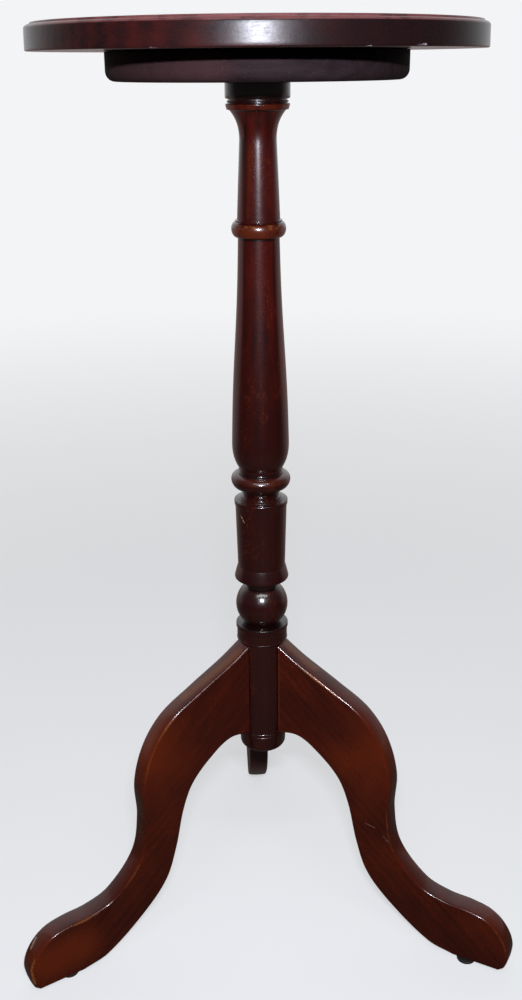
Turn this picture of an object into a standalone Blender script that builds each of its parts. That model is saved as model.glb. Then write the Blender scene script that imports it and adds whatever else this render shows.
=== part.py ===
"""Tripod fern stand in stained mahogany.

A round top is screwed to a round cleat, the cleat sits on the wedged tenon of one turned column, and three
band-sawn legs are dowelled to flats on the column's hub. A turned cap closes the hub from below, and a
nail-on glide is under each foot. Metres, +Z up, rear leg towards +Y. The origin is on the floor, in the
middle of the stand's box, and the column stands a little in front of it, towards -Y.
"""
import math

import bmesh
import bpy
from mathutils import Matrix, Vector
from mathutils.geometry import interpolate_bezier

# Fits
JOINT_GAP = 0.0003
END_ROOM = 0.0006
CUT_OVERRUN = 0.004
MERGE = 0.00002

# Round top
TOP_RADIUS = 0.170
TOP_FACE_HEIGHT = 0.015
TOP_OVOLO_RISE = 0.0026
TOP_OVOLO_DEPTH = 0.0040
TOP_FILLET_HEIGHT = 0.0015
TOP_ARRIS = 0.0005

# Cleat under the top
CLEAT_RADIUS = 0.1131
CLEAT_THICKNESS = 0.0207
CLEAT_ROUNDING = 0.0055

# Countersunk wood screws, up through the cleat into the top
SCREW_COUNT = 4
SCREW_CIRCLE_RADIUS = 0.076
SCREW_LENGTH = 0.0318
SCREW_HEAD_RADIUS = 0.0042
SCREW_HEAD_HEIGHT = 0.0030
SCREW_SHANK_RADIUS = 0.0021
SCREW_ROOT_RADIUS = 0.0015
SCREW_PITCH = 0.0032
SCREW_TIP_LENGTH = 0.0035
SCREW_SINK = 0.0004
CROSS_SLOT_LENGTH = 0.0044
CROSS_SLOT_WIDTH = 0.0011
CROSS_SLOT_DEPTH = 0.0016

# Column, from its top tenon down
TENON_RADIUS = 0.0125
TENON_SHORTFALL = 0.0006
WEDGE_LENGTH = 0.0150
WEDGE_THICK_END = 0.0030
WEDGE_THIN_END = 0.0012

COLLAR_RADIUS = 0.0249
COLLAR_HEIGHT = 0.01115
COLLAR_ROUNDING = 0.0015
QUIRK_RADIUS = 0.0228
QUIRK_HEIGHT = 0.0011
ASTRAGAL_RADIUS = 0.0236
ASTRAGAL_HEIGHT = 0.0017
FLANGE_RADIUS = 0.0247
FLANGE_ARRIS = 0.0007
FLANGE_LOWER_RADIUS = 0.0236
FLANGE_HEIGHT = 0.0038
COVE_RADIUS = 0.0218
COVE_HEIGHT = 0.0213
WAIST_RADIUS = 0.01445

SHAFT_RADIUS = 0.01695
SHAFT_HEIGHT = 0.0600
BEAD_FILLET_RADIUS = 0.0185
BEAD_FILLET_HEIGHT = 0.0013
BEAD_RADIUS = 0.0216
BEAD_UPPER_HEIGHT = 0.0054
BEAD_LOWER_HEIGHT = 0.0066
BEAD_UNDER_RADIUS = 0.0173
BEAD_QUIRK_HEIGHT = 0.0005

VASE_TOP_RADIUS = 0.0165
VASE_RADIUS = 0.0240
VASE_HEIGHT = 0.1690
VASE_SWELL = 0.0005
VASE_TURN_UNDER = 0.0222
VASE_FOOT_RADIUS = 0.0187
VASE_NECK_RADIUS = 0.0184
VASE_NECK_HEIGHT = 0.0035

RING_FILLET_RADIUS = 0.0192
RING_FILLET_HEIGHT = 0.0015
RING_RADIUS = 0.0252
RING_UPPER_HEIGHT = 0.0055
RING_LOWER_HEIGHT = 0.0076
RING_UNDER_RADIUS = 0.0190
SCOTIA_RADIUS = 0.0179
SCOTIA_LIP = 0.0015
SCOTIA_HEIGHT = 0.0081
SCOTIA_THROAT_RADIUS = 0.0154

DRUM_STEP_RADIUS = 0.0190
DRUM_STEP_HEIGHT = 0.0007
DRUM_LEDGE_RADIUS = 0.0214
DRUM_LEDGE_FALL = 0.0006
DRUM_LIP_RADIUS = 0.02295
DRUM_LIP_HEIGHT = 0.0014
DRUM_BAND_RADIUS = 0.0226
DRUM_BAND_HEIGHT = 0.0027
DRUM_TOP_RADIUS = 0.02205
DRUM_STEP_IN = 0.0016
DRUM_FOOT_RADIUS = 0.0206
DRUM_HEIGHT = 0.0555

SKIRT_RADIUS = 0.0236
SKIRT_FLARE_HEIGHT = 0.0108
SKIRT_EDGE_HEIGHT = 0.0010
SKIRT_UNDERCUT_HEIGHT = 0.0066
THROAT_RADIUS = 0.0140
THROAT_HEIGHT = 0.0018

BALL_RADIUS = 0.0229
BALL_FOOT_RADIUS = 0.0142
HUB_COLLAR_RADIUS = 0.0231
HUB_COLLAR_ARRIS = 0.0009
HUB_COLLAR_HEIGHT = 0.0036
HUB_COLLAR_STEP = 0.0010
HUB_BAND_RADIUS = 0.0224
HUB_BAND_HEIGHT = 0.0105
HUB_BAND_ARRIS = 0.0004
HUB_RADIUS = 0.0218
HUB_FLAT_REACH = 0.0203
HUB_TAIL = 0.0020

# Cap under the hub
CAP_LIP_RADIUS = 0.0218
CAP_LIP_ARRIS = 0.0010
CAP_LIP_HEIGHT = 0.0032
CAP_QUIRK_RADIUS = 0.0210
CAP_QUIRK_HEIGHT = 0.0008
CAP_FACE_RADIUS = 0.0214
CAP_FACE_HEIGHT = 0.0110
CAP_EDGE_RADIUS = 0.0206
CAP_ROUNDING_HEIGHT = 0.0062
CAP_BASE_RADIUS = 0.0135
SPIGOT_RADIUS = 0.0060
SPIGOT_LENGTH = 0.0110
SPIGOT_CHAMFER = 0.0008

# Legs, sawn from board
LEG_COUNT = 3
LEG_THICKNESS = 0.0191
LEG_REACH = 0.2475
LEG_RISE = 0.2750
LEG_BUTT_HEIGHT = 0.0900
LEG_ARRIS = 0.0012
# Knots of the two edges, as shares of the leg's reach and rise
LEG_TOP_EDGE_SHARES = (
    (0.156, 0.956), (0.291, 0.888), (0.412, 0.820), (0.487, 0.727), (0.5245, 0.605), (0.5215, 0.470),
    (0.554, 0.341), (0.660, 0.236), (0.752, 0.2065), (0.840, 0.200), (0.912, 0.184), (0.9665, 0.143),
    (0.998, 0.080), (0.990, 0.020),
)
LEG_SOLE_SHARES = ((0.968, 0.0), (0.806, 0.0))
LEG_UNDER_EDGE_SHARES = (
    (0.703, 0.027), (0.546, 0.132), (0.450, 0.226), (0.401, 0.335), (0.364, 0.474), (0.321, 0.562),
    (0.237, 0.638), (0.162, 0.678),
)

# Dowels between leg and hub
DOWEL_RADIUS = 0.0040
DOWEL_LENGTH = 0.0290
DOWEL_CHAMFER = 0.0010
DOWEL_FLUTE_DEPTH = 0.0003
DOWEL_EDGE_DISTANCE = 0.0200

# Nail-on glides
GLIDE_RADIUS = 0.0085
GLIDE_THICKNESS = 0.0025
GLIDE_ROUNDING = 0.0009
GLIDE_HEEL_MARGIN = 0.0090
GLIDE_SLIP = 0.0040
NAIL_RADIUS = 0.0009
NAIL_LENGTH = 0.0120
NAIL_POINT = 0.0020

# How finely round shapes are cut
COLUMN_SIDES = 32
PLATE_SIDES = 60
DOWEL_SIDES = 16
SCREW_SIDES = 10
GLIDE_SIDES = 16
LEG_CURVE_STEPS = 4
CREASE_ANGLE = math.radians(28)

# The legs stand evenly round the column, from the front right one on
LEG_NAMES = ("leg_front_right", "leg_rear", "leg_front_left")
FIRST_LEG_TURN = math.radians(-30)
LEG_SPREAD = 2 * math.pi / LEG_COUNT
LEG_TURNS = tuple(FIRST_LEG_TURN + i * LEG_SPREAD for i in range(LEG_COUNT))

# Heights that follow from the sizes above
SOLE_Z = GLIDE_THICKNESS + JOINT_GAP
BUTT_TOP_Z = SOLE_Z + LEG_RISE
BUTT_FOOT_Z = BUTT_TOP_Z - LEG_BUTT_HEIGHT
HUB_TOP_Z = BUTT_TOP_Z + 2 * JOINT_GAP
HUB_FOOT_Z = BUTT_FOOT_Z - HUB_TAIL
DOWEL_HEIGHTS = (BUTT_FOOT_Z + DOWEL_EDGE_DISTANCE, BUTT_TOP_Z - DOWEL_EDGE_DISTANCE)
BUTT_REACH = HUB_FLAT_REACH + JOINT_GAP

WOOD_DARK = (0.050, 0.012, 0.008, 1.0)
WOOD_RED = (0.085, 0.020, 0.011, 1.0)
WOOD_RAW = (0.450, 0.270, 0.130, 1.0)
STEEL = (0.450, 0.430, 0.400, 1.0)
PLASTIC_BROWN = (0.020, 0.013, 0.010, 1.0)


def clear_scene():
    """Remove every object, so the stand is all that the scene holds"""
    for old in list(bpy.data.objects):
        bpy.data.objects.remove(old, do_unlink=True)


def finish(name, colour, roughness, metallic=0.0):
    """One Principled material"""
    material = bpy.data.materials.new(name)
    material.use_nodes = True
    shader = material.node_tree.nodes["Principled BSDF"]
    shader.inputs["Base Color"].default_value = colour
    shader.inputs["Roughness"].default_value = roughness
    shader.inputs["Metallic"].default_value = metallic
    return material


def add_object(name, mesh_builder, parent, place=(0.0, 0.0, 0.0), turn=0.0):
    """Put a bmesh in the scene as one named object, placed and turned about Z under its parent"""
    mesh = bpy.data.meshes.new(name)
    bmesh.ops.recalc_face_normals(mesh_builder, faces=mesh_builder.faces[:])
    mesh_builder.to_mesh(mesh)
    mesh_builder.free()
    obj = bpy.data.objects.new(name, mesh)
    bpy.context.scene.collection.objects.link(obj)
    obj.parent = parent
    obj.location = place
    obj.rotation_euler = (0.0, 0.0, turn)
    return obj


def dress(obj, material):
    """Give a round piece its finish and smooth shading with crisp arrises"""
    obj.data.materials.append(material)
    obj.data.shade_smooth()
    obj.data.set_sharp_from_angle(angle=CREASE_ANGLE)
    return obj


def turned(outline, sides):
    """Spin an outline of (radius, height) pairs, from axis to axis, into a closed solid"""
    form = bmesh.new()
    points = [form.verts.new((radius, 0.0, height)) for radius, height in outline]
    edges = [form.edges.new(pair) for pair in zip(points, points[1:])]
    bmesh.ops.spin(form, geom=points + edges, cent=(0.0, 0.0, 0.0), axis=(0.0, 0.0, 1.0),
                   angle=2 * math.pi, steps=sides, use_merge=True, use_duplicate=False)
    bmesh.ops.remove_doubles(form, verts=form.verts[:], dist=MERGE)
    return form


def block(low, high):
    """A box between two corners"""
    form = bmesh.new()
    bmesh.ops.create_cube(form, size=1.0)
    size = Vector(high) - Vector(low)
    bmesh.ops.scale(form, vec=size, verts=form.verts[:])
    bmesh.ops.translate(form, vec=Vector(low) + size / 2, verts=form.verts[:])
    return form


def rod(radius, length, sides, axis_turn=None):
    """A plain cylinder from the origin along +Z, or along +X with axis_turn"""
    form = bmesh.new()
    bmesh.ops.create_cone(form, cap_ends=True, cap_tris=False, segments=sides,
                          radius1=radius, radius2=radius, depth=length)
    bmesh.ops.translate(form, vec=(0.0, 0.0, length / 2), verts=form.verts[:])
    if axis_turn:
        bmesh.ops.rotate(form, cent=(0.0, 0.0, 0.0), matrix=axis_turn, verts=form.verts[:])
    return form


ALONG_X = Matrix.Rotation(math.radians(90), 3, "Y")


def cut(target, cutter):
    """Take a hidden cutter out of a piece"""
    cutter.hide_render = True
    cutter.display_type = "WIRE"
    modifier = target.modifiers.new(cutter.name, "BOOLEAN")
    modifier.operation = "DIFFERENCE"
    modifier.solver = "EXACT"
    modifier.object = cutter


class Turning:
    """The edge of a turned piece, drawn downwards member by member"""

    def __init__(self, radius):
        self.points = [(radius, 0.0)]

    def line(self, radius, fall=0.0):
        self.points.append((radius, self.points[-1][1] - fall))

    def sweep(self, radius, fall, steps, shape):
        """Go to a new radius and height; shape gives the shares of the fall and of the change in radius"""
        start, height = self.points[-1]
        for i in range(1, steps + 1):
            down, across = shape(i / steps)
            self.points.append((start + (radius - start) * across, height - fall * down))

    def round_out(self, radius, fall, steps):
        self.sweep(radius, fall, steps,
                   lambda t: (1 - math.cos(t * math.pi / 2), math.sin(t * math.pi / 2)))

    def round_under(self, radius, fall, steps):
        self.sweep(radius, fall, steps,
                   lambda t: (math.sin(t * math.pi / 2), 1 - math.cos(t * math.pi / 2)))

    def cove(self, radius, fall, steps, power):
        self.sweep(radius, fall, steps, lambda t: (t, 1 - (1 - t) ** power))

    def flare(self, radius, fall, steps, power):
        self.sweep(radius, fall, steps, lambda t: (t, t ** power))

    def swell(self, radius, fall, steps, depth):
        """A long taper with a slight S in it"""
        ripple = depth / abs(radius - self.points[-1][0])
        self.sweep(radius, fall, steps, lambda t: (t, t - ripple * math.sin(2 * math.pi * t)))

    def ball(self, radius, foot_radius, steps):
        """Most of a ball, from the present radius round to the radius of its foot"""
        start, height = self.points[-1]
        top = math.acos(start / radius)
        foot = -math.acos(foot_radius / radius)
        centre = height - radius * math.sin(top)
        for i in range(1, steps + 1):
            angle = top + (foot - top) * i / steps
            self.points.append((radius * math.cos(angle), centre + radius * math.sin(angle)))

    def placed(self, foot_height):
        """The points with the lowest one at a given height"""
        lift = foot_height - self.points[-1][1]
        return [(radius, height + lift) for radius, height in self.points]


def column_members():
    """The column's mouldings between the cleat and the hub"""
    edge = Turning(COLLAR_RADIUS)
    edge.line(COLLAR_RADIUS, COLLAR_HEIGHT)
    edge.round_under(COLLAR_RADIUS - COLLAR_ROUNDING, COLLAR_ROUNDING, 3)
    edge.line(QUIRK_RADIUS)
    edge.line(QUIRK_RADIUS, QUIRK_HEIGHT)
    edge.round_out(ASTRAGAL_RADIUS, ASTRAGAL_HEIGHT / 2, 2)
    edge.round_under(QUIRK_RADIUS, ASTRAGAL_HEIGHT / 2, 2)
    edge.line(QUIRK_RADIUS, QUIRK_HEIGHT / 2)
    edge.line(FLANGE_RADIUS - FLANGE_ARRIS)
    edge.round_out(FLANGE_RADIUS, FLANGE_ARRIS, 2)
    edge.line(FLANGE_LOWER_RADIUS, FLANGE_HEIGHT)
    edge.line(COVE_RADIUS)
    edge.cove(WAIST_RADIUS, COVE_HEIGHT, 7, 2.5)
    edge.line(SHAFT_RADIUS, SHAFT_HEIGHT)
    edge.line(BEAD_FILLET_RADIUS)
    edge.line(BEAD_FILLET_RADIUS, BEAD_FILLET_HEIGHT)
    edge.round_out(BEAD_RADIUS, BEAD_UPPER_HEIGHT, 4)
    edge.round_under(BEAD_UNDER_RADIUS, BEAD_LOWER_HEIGHT, 4)
    edge.line(VASE_TOP_RADIUS, BEAD_QUIRK_HEIGHT)
    edge.swell(VASE_RADIUS, VASE_HEIGHT, 8, VASE_SWELL)
    edge.flare(VASE_FOOT_RADIUS, VASE_TURN_UNDER, 7, 2.5)
    edge.line(VASE_NECK_RADIUS, VASE_NECK_HEIGHT)
    edge.line(RING_FILLET_RADIUS)
    edge.line(RING_FILLET_RADIUS, RING_FILLET_HEIGHT)
    edge.round_out(RING_RADIUS, RING_UPPER_HEIGHT, 5)
    edge.round_under(RING_UNDER_RADIUS, RING_LOWER_HEIGHT, 5)
    edge.line(SCOTIA_RADIUS)
    edge.line(SCOTIA_RADIUS, SCOTIA_LIP)
    edge.cove(SCOTIA_THROAT_RADIUS, SCOTIA_HEIGHT, 4, 2.0)
    edge.line(DRUM_STEP_RADIUS)
    edge.line(DRUM_STEP_RADIUS, DRUM_STEP_HEIGHT)
    edge.line(DRUM_LEDGE_RADIUS, DRUM_LEDGE_FALL)
    edge.round_out(DRUM_LIP_RADIUS, DRUM_LIP_HEIGHT, 3)
    edge.line(DRUM_BAND_RADIUS, DRUM_BAND_HEIGHT)
    edge.line(DRUM_TOP_RADIUS, DRUM_STEP_IN)
    edge.line(DRUM_FOOT_RADIUS, DRUM_HEIGHT)
    edge.flare(SKIRT_RADIUS, SKIRT_FLARE_HEIGHT, 4, 0.85)
    edge.line(SKIRT_RADIUS, SKIRT_EDGE_HEIGHT)
    edge.cove(THROAT_RADIUS, SKIRT_UNDERCUT_HEIGHT, 4, 1.6)
    edge.line(THROAT_RADIUS, THROAT_HEIGHT)
    edge.ball(BALL_RADIUS, BALL_FOOT_RADIUS, 10)
    edge.line(HUB_COLLAR_RADIUS - HUB_COLLAR_ARRIS)
    edge.round_out(HUB_COLLAR_RADIUS, HUB_COLLAR_ARRIS, 2)
    edge.line(HUB_COLLAR_RADIUS, HUB_COLLAR_HEIGHT)
    edge.line(HUB_BAND_RADIUS, HUB_COLLAR_STEP)
    edge.line(HUB_BAND_RADIUS, HUB_BAND_HEIGHT)
    edge.line(HUB_BAND_RADIUS - HUB_BAND_ARRIS, HUB_BAND_ARRIS)
    return edge.placed(HUB_TOP_Z)


COLUMN_EDGE = column_members()
SHOULDER_Z = COLUMN_EDGE[0][1]
CLEAT_Z = SHOULDER_Z + JOINT_GAP
TENON_TOP_Z = CLEAT_Z + CLEAT_THICKNESS - TENON_SHORTFALL
TOP_Z = CLEAT_Z + CLEAT_THICKNESS + JOINT_GAP
TOP_THICKNESS = TOP_FACE_HEIGHT + TOP_OVOLO_RISE + TOP_FILLET_HEIGHT


def wedge_form(half_width, room, overrun):
    """A wedge, thick end up; with room all round and an overrun above it is the saw kerf that takes it"""
    form = block((-half_width, -WEDGE_THICK_END / 2 - room, -WEDGE_LENGTH - room),
                 (half_width, WEDGE_THICK_END / 2 + room, 0.0))
    thin_share = (WEDGE_THIN_END / 2 + room) / (WEDGE_THICK_END / 2 + room)
    thin_end = [v for v in form.verts if v.co.z < -WEDGE_LENGTH / 2]
    thick_end = [v for v in form.verts if v.co.z > -WEDGE_LENGTH / 2]
    bmesh.ops.scale(form, vec=(1.0, thin_share, 1.0), verts=thin_end)
    bmesh.ops.translate(form, vec=(0.0, 0.0, overrun), verts=thick_end)
    return form


def make_column(stand, wood):
    """One turning, with flats and dowel holes on its hub, a bore for the cap and a kerf in its tenon"""
    outline = [(0.0, TENON_TOP_Z), (TENON_RADIUS, TENON_TOP_Z), (TENON_RADIUS, SHOULDER_Z)]
    outline += COLUMN_EDGE
    outline += [(HUB_RADIUS, HUB_TOP_Z), (HUB_RADIUS, HUB_FOOT_Z), (0.0, HUB_FOOT_Z)]
    column = add_object("column", turned(outline, COLUMN_SIDES), stand)
    for turn in LEG_TURNS:
        flat = block((HUB_FLAT_REACH, -HUB_RADIUS, HUB_FOOT_Z - CUT_OVERRUN),
                     (HUB_RADIUS + CUT_OVERRUN, HUB_RADIUS, HUB_TOP_Z - JOINT_GAP))
        cut(column, add_object("hub_flat_cutter", flat, stand, turn=turn))
        depth = DOWEL_LENGTH / 2 + END_ROOM
        for height in DOWEL_HEIGHTS:
            hole = rod(DOWEL_RADIUS + JOINT_GAP, depth + CUT_OVERRUN, DOWEL_SIDES, ALONG_X)
            start = HUB_FLAT_REACH - depth
            place = (start * math.cos(turn), start * math.sin(turn), height)
            cut(column, add_object("hub_hole_cutter", hole, stand, place, turn))
    bore = rod(SPIGOT_RADIUS + JOINT_GAP, SPIGOT_LENGTH + END_ROOM + CUT_OVERRUN, DOWEL_SIDES)
    cut(column, add_object("spigot_bore_cutter", bore, stand, (0.0, 0.0, HUB_FOOT_Z - CUT_OVERRUN)))
    kerf = wedge_form(TENON_RADIUS + CUT_OVERRUN, JOINT_GAP, CUT_OVERRUN)
    cut(column, add_object("kerf_cutter", kerf, stand, (0.0, 0.0, TENON_TOP_Z)))
    return dress(column, wood)


def make_wedge(stand, wood):
    """The wedge that spreads the column's tenon in the cleat, as wide as the tenon allows"""
    half_width = math.sqrt(TENON_RADIUS ** 2 - (WEDGE_THICK_END / 2) ** 2) - JOINT_GAP
    wedge = add_object("tenon_wedge", wedge_form(half_width, 0.0, 0.0), stand, (0.0, 0.0, TENON_TOP_Z))
    wedge.data.materials.append(wood)
    return wedge


def screw_outline():
    """A countersunk wood screw, tip up: head, plain shank, ridged thread and point"""
    shank_top = SCREW_LENGTH / 2
    points = [(0.0, 0.0), (SCREW_HEAD_RADIUS, 0.0), (SCREW_SHANK_RADIUS, SCREW_HEAD_HEIGHT),
              (SCREW_SHANK_RADIUS, shank_top)]
    height = shank_top
    while height + SCREW_PITCH < SCREW_LENGTH - SCREW_TIP_LENGTH:
        points += [(SCREW_ROOT_RADIUS, height + SCREW_PITCH / 4),
                   (SCREW_SHANK_RADIUS, height + SCREW_PITCH / 2)]
        height += SCREW_PITCH
    points += [(SCREW_ROOT_RADIUS, height + SCREW_PITCH / 4), (0.0, SCREW_LENGTH)]
    return points


def screw_places():
    """Where the screws stand, evenly round the column"""
    turns = [(i + 0.5) * 2 * math.pi / SCREW_COUNT for i in range(SCREW_COUNT)]
    return [(SCREW_CIRCLE_RADIUS * math.cos(turn), SCREW_CIRCLE_RADIUS * math.sin(turn)) for turn in turns]


def screw_well():
    """The space that one screw takes in the cleat, countersink and all"""
    well = SCREW_HEAD_RADIUS + JOINT_GAP
    shank = SCREW_SHANK_RADIUS + JOINT_GAP
    throat = SCREW_SINK + SCREW_HEAD_HEIGHT + JOINT_GAP
    past_cleat = CLEAT_THICKNESS + CUT_OVERRUN
    return [(0.0, -CUT_OVERRUN), (well, -CUT_OVERRUN), (well, SCREW_SINK), (shank, throat),
            (shank, past_cleat), (0.0, past_cleat)]


def make_cleat(stand, wood, steel):
    """The round cleat on the column's tenon, with its four screws"""
    edge = Turning(CLEAT_RADIUS)
    edge.line(CLEAT_RADIUS, CLEAT_THICKNESS - CLEAT_ROUNDING)
    edge.round_under(CLEAT_RADIUS - CLEAT_ROUNDING, CLEAT_ROUNDING, 4)
    outline = [(0.0, CLEAT_Z + CLEAT_THICKNESS)] + edge.placed(CLEAT_Z) + [(0.0, CLEAT_Z)]
    cleat = add_object("top_cleat", turned(outline, PLATE_SIDES), stand)
    mortise = rod(TENON_RADIUS + JOINT_GAP, CLEAT_THICKNESS + 2 * CUT_OVERRUN, COLUMN_SIDES)
    cut(cleat, add_object("mortise_cutter", mortise, stand, (0.0, 0.0, CLEAT_Z - CUT_OVERRUN)))
    for number, (x, y) in enumerate(screw_places(), 1):
        well = turned(screw_well(), SCREW_SIDES)
        cut(cleat, add_object("screw_well_cutter", well, stand, (x, y, CLEAT_Z)))
        head_z = CLEAT_Z + SCREW_SINK
        screw = add_object("cleat_screw_%d" % number, turned(screw_outline(), SCREW_SIDES), stand,
                           (x, y, head_z))
        for slot_turn in (0.0, math.radians(90)):
            slot = block((-CROSS_SLOT_LENGTH / 2, -CROSS_SLOT_WIDTH / 2, -CUT_OVERRUN),
                         (CROSS_SLOT_LENGTH / 2, CROSS_SLOT_WIDTH / 2, CROSS_SLOT_DEPTH))
            cut(screw, add_object("cross_slot_cutter", slot, stand, (x, y, head_z), slot_turn))
        dress(screw, steel)
    return dress(cleat, wood)


def make_top(stand, wood):
    """The round top, with an ovolo and a fillet round its upper edge and blind holes for the screws"""
    crown = TOP_Z + TOP_THICKNESS
    fillet_radius = TOP_RADIUS - TOP_OVOLO_DEPTH
    edge = Turning(fillet_radius - TOP_ARRIS)
    edge.round_out(fillet_radius, TOP_ARRIS, 2)
    edge.line(fillet_radius, TOP_FILLET_HEIGHT - TOP_ARRIS)
    edge.round_out(TOP_RADIUS, TOP_OVOLO_RISE, 4)
    edge.line(TOP_RADIUS, TOP_FACE_HEIGHT - TOP_ARRIS)
    edge.line(TOP_RADIUS - TOP_ARRIS, TOP_ARRIS)
    outline = [(0.0, crown)] + edge.placed(TOP_Z) + [(0.0, TOP_Z)]
    top = add_object("table_top", turned(outline, PLATE_SIDES), stand)
    screw_reach = CLEAT_Z + SCREW_SINK + SCREW_LENGTH + END_ROOM - TOP_Z
    for x, y in screw_places():
        hole = rod(SCREW_SHANK_RADIUS + JOINT_GAP, screw_reach + CUT_OVERRUN, SCREW_SIDES)
        cut(top, add_object("screw_hole_cutter", hole, stand, (x, y, TOP_Z - CUT_OVERRUN)))
    return dress(top, wood)


def leg_curve(knots):
    """A smooth line through the knots, made of Bezier spans whose handles follow the neighbouring knots"""
    line = []
    for i in range(len(knots) - 1):
        before = knots[max(i - 1, 0)]
        here, there = knots[i], knots[i + 1]
        beyond = knots[min(i + 2, len(knots) - 1)]
        span = (there - here).length
        out = (there - before).normalized() * span / 3
        back = (beyond - here).normalized() * span / 3
        line += interpolate_bezier(here, here + out, there - back, there, LEG_CURVE_STEPS + 1)[:-1]
    return line + [knots[-1]]


def leg_outline():
    """The sawn outline in the leg's own plane: X away from the hub, Z up, first point at the butt's top"""
    def placed(shares):
        return [Vector((across * LEG_REACH, 0.0, up * LEG_RISE)) for across, up in shares]

    butt_top = Vector((BUTT_REACH, 0.0, LEG_RISE))
    butt_foot = Vector((BUTT_REACH, 0.0, LEG_RISE - LEG_BUTT_HEIGHT))
    toe, heel = placed(LEG_SOLE_SHARES)
    upper = leg_curve([butt_top] + placed(LEG_TOP_EDGE_SHARES) + [toe])
    under = leg_curve([heel] + placed(LEG_UNDER_EDGE_SHARES) + [butt_foot])
    return upper + under


def column_y():
    """Where the column stands when the middle of the stand's box is at zero: the rear leg reaches further
    back than the top and the front legs reach forward"""
    rear = max(point.x for point in leg_outline())
    front_legs = rear * math.cos(LEG_SPREAD / 2) + LEG_THICKNESS / 2 * math.sin(LEG_SPREAD / 2)
    return (max(TOP_RADIUS, front_legs) - rear) / 2


def make_leg(stand, name, turn, wood):
    """One leg: the outline as a board, with eased arrises, dowel holes in its butt and a nail hole"""
    form = bmesh.new()
    outline = [form.verts.new((p.x, -LEG_THICKNESS / 2, p.z)) for p in leg_outline()]
    face = form.faces.new(outline)
    result = bmesh.ops.extrude_face_region(form, geom=[face])
    moved = [item for item in result["geom"] if isinstance(item, bmesh.types.BMVert)]
    bmesh.ops.translate(form, vec=(0.0, LEG_THICKNESS, 0.0), verts=moved)
    side_edges = []
    for edge in form.edges:
        a, b = (v.co for v in edge.verts)
        along_side = abs(a.y - b.y) < MERGE
        at_butt = max(a.x, b.x) < BUTT_REACH + MERGE
        if along_side and not at_butt:
            side_edges.append(edge)
    bmesh.ops.bevel(form, geom=side_edges, offset=LEG_ARRIS, offset_type="OFFSET", affect="EDGES",
                    segments=1, profile=0.5, material=-1, clamp_overlap=True)
    bmesh.ops.triangulate(form, faces=[f for f in form.faces if len(f.verts) > 4])
    leg = add_object(name, form, stand, (0.0, 0.0, SOLE_Z), turn)
    depth = DOWEL_LENGTH / 2 + END_ROOM
    for height in DOWEL_HEIGHTS:
        hole = rod(DOWEL_RADIUS + JOINT_GAP, depth + CUT_OVERRUN, DOWEL_SIDES, ALONG_X)
        start = BUTT_REACH - CUT_OVERRUN
        place = (start * math.cos(turn), start * math.sin(turn), height)
        cut(leg, add_object("leg_hole_cutter", hole, stand, place, turn))
    nail_hole = rod(NAIL_RADIUS + JOINT_GAP, NAIL_LENGTH + END_ROOM + CUT_OVERRUN, SCREW_SIDES)
    cut(leg, add_object("nail_hole_cutter", nail_hole, stand, glide_place(name, turn, SOLE_Z - CUT_OVERRUN)))
    return dress(leg, wood)


def glide_place(leg_name, turn, height):
    """The glide's centre; the one under the front right foot was nailed off the middle, towards the front"""
    heel_share = LEG_SOLE_SHARES[1][0]
    reach = heel_share * LEG_REACH + GLIDE_HEEL_MARGIN
    slip = -GLIDE_SLIP if leg_name == "leg_front_right" else 0.0
    return (reach * math.cos(turn) - slip * math.sin(turn),
            reach * math.sin(turn) + slip * math.cos(turn), height)


def make_glide(stand, leg_name, turn, plastic):
    """A moulded disc with a nail up through the sole"""
    edge = Turning(GLIDE_RADIUS)
    edge.line(GLIDE_RADIUS, GLIDE_THICKNESS - GLIDE_ROUNDING)
    edge.round_under(GLIDE_RADIUS - GLIDE_ROUNDING, GLIDE_ROUNDING, 3)
    nail_top = GLIDE_THICKNESS + NAIL_LENGTH
    outline = [(0.0, nail_top), (NAIL_RADIUS, nail_top - NAIL_POINT), (NAIL_RADIUS, GLIDE_THICKNESS)]
    outline += edge.placed(0.0) + [(0.0, 0.0)]
    glide = add_object(leg_name.replace("leg", "glide"), turned(outline, GLIDE_SIDES), stand,
                       glide_place(leg_name, turn, 0.0))
    return dress(glide, plastic)


def make_dowels(stand, leg_name, turn, wood):
    """The fluted dowels of one leg, half in the hub and half in the leg"""
    for level, height in zip(("lower", "upper"), DOWEL_HEIGHTS):
        body = DOWEL_RADIUS
        slim = DOWEL_RADIUS - DOWEL_CHAMFER
        form = turned([(0.0, 0.0), (slim, 0.0), (body, DOWEL_CHAMFER), (body, DOWEL_LENGTH - DOWEL_CHAMFER),
                       (slim, DOWEL_LENGTH), (0.0, DOWEL_LENGTH)], DOWEL_SIDES)
        for vert in form.verts:
            station = round(math.atan2(vert.co.y, vert.co.x) * DOWEL_SIDES / (2 * math.pi))
            if station % 2 and vert.co.xy.length > slim + MERGE:
                vert.co.xy *= (body - DOWEL_FLUTE_DEPTH) / body
        bmesh.ops.rotate(form, cent=(0.0, 0.0, 0.0), matrix=ALONG_X, verts=form.verts[:])
        start = HUB_FLAT_REACH + JOINT_GAP / 2 - DOWEL_LENGTH / 2
        place = (start * math.cos(turn), start * math.sin(turn), height)
        dowel = add_object("%s_dowel_%s" % (leg_name, level), form, stand, place, turn)
        dress(dowel, wood)


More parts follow.
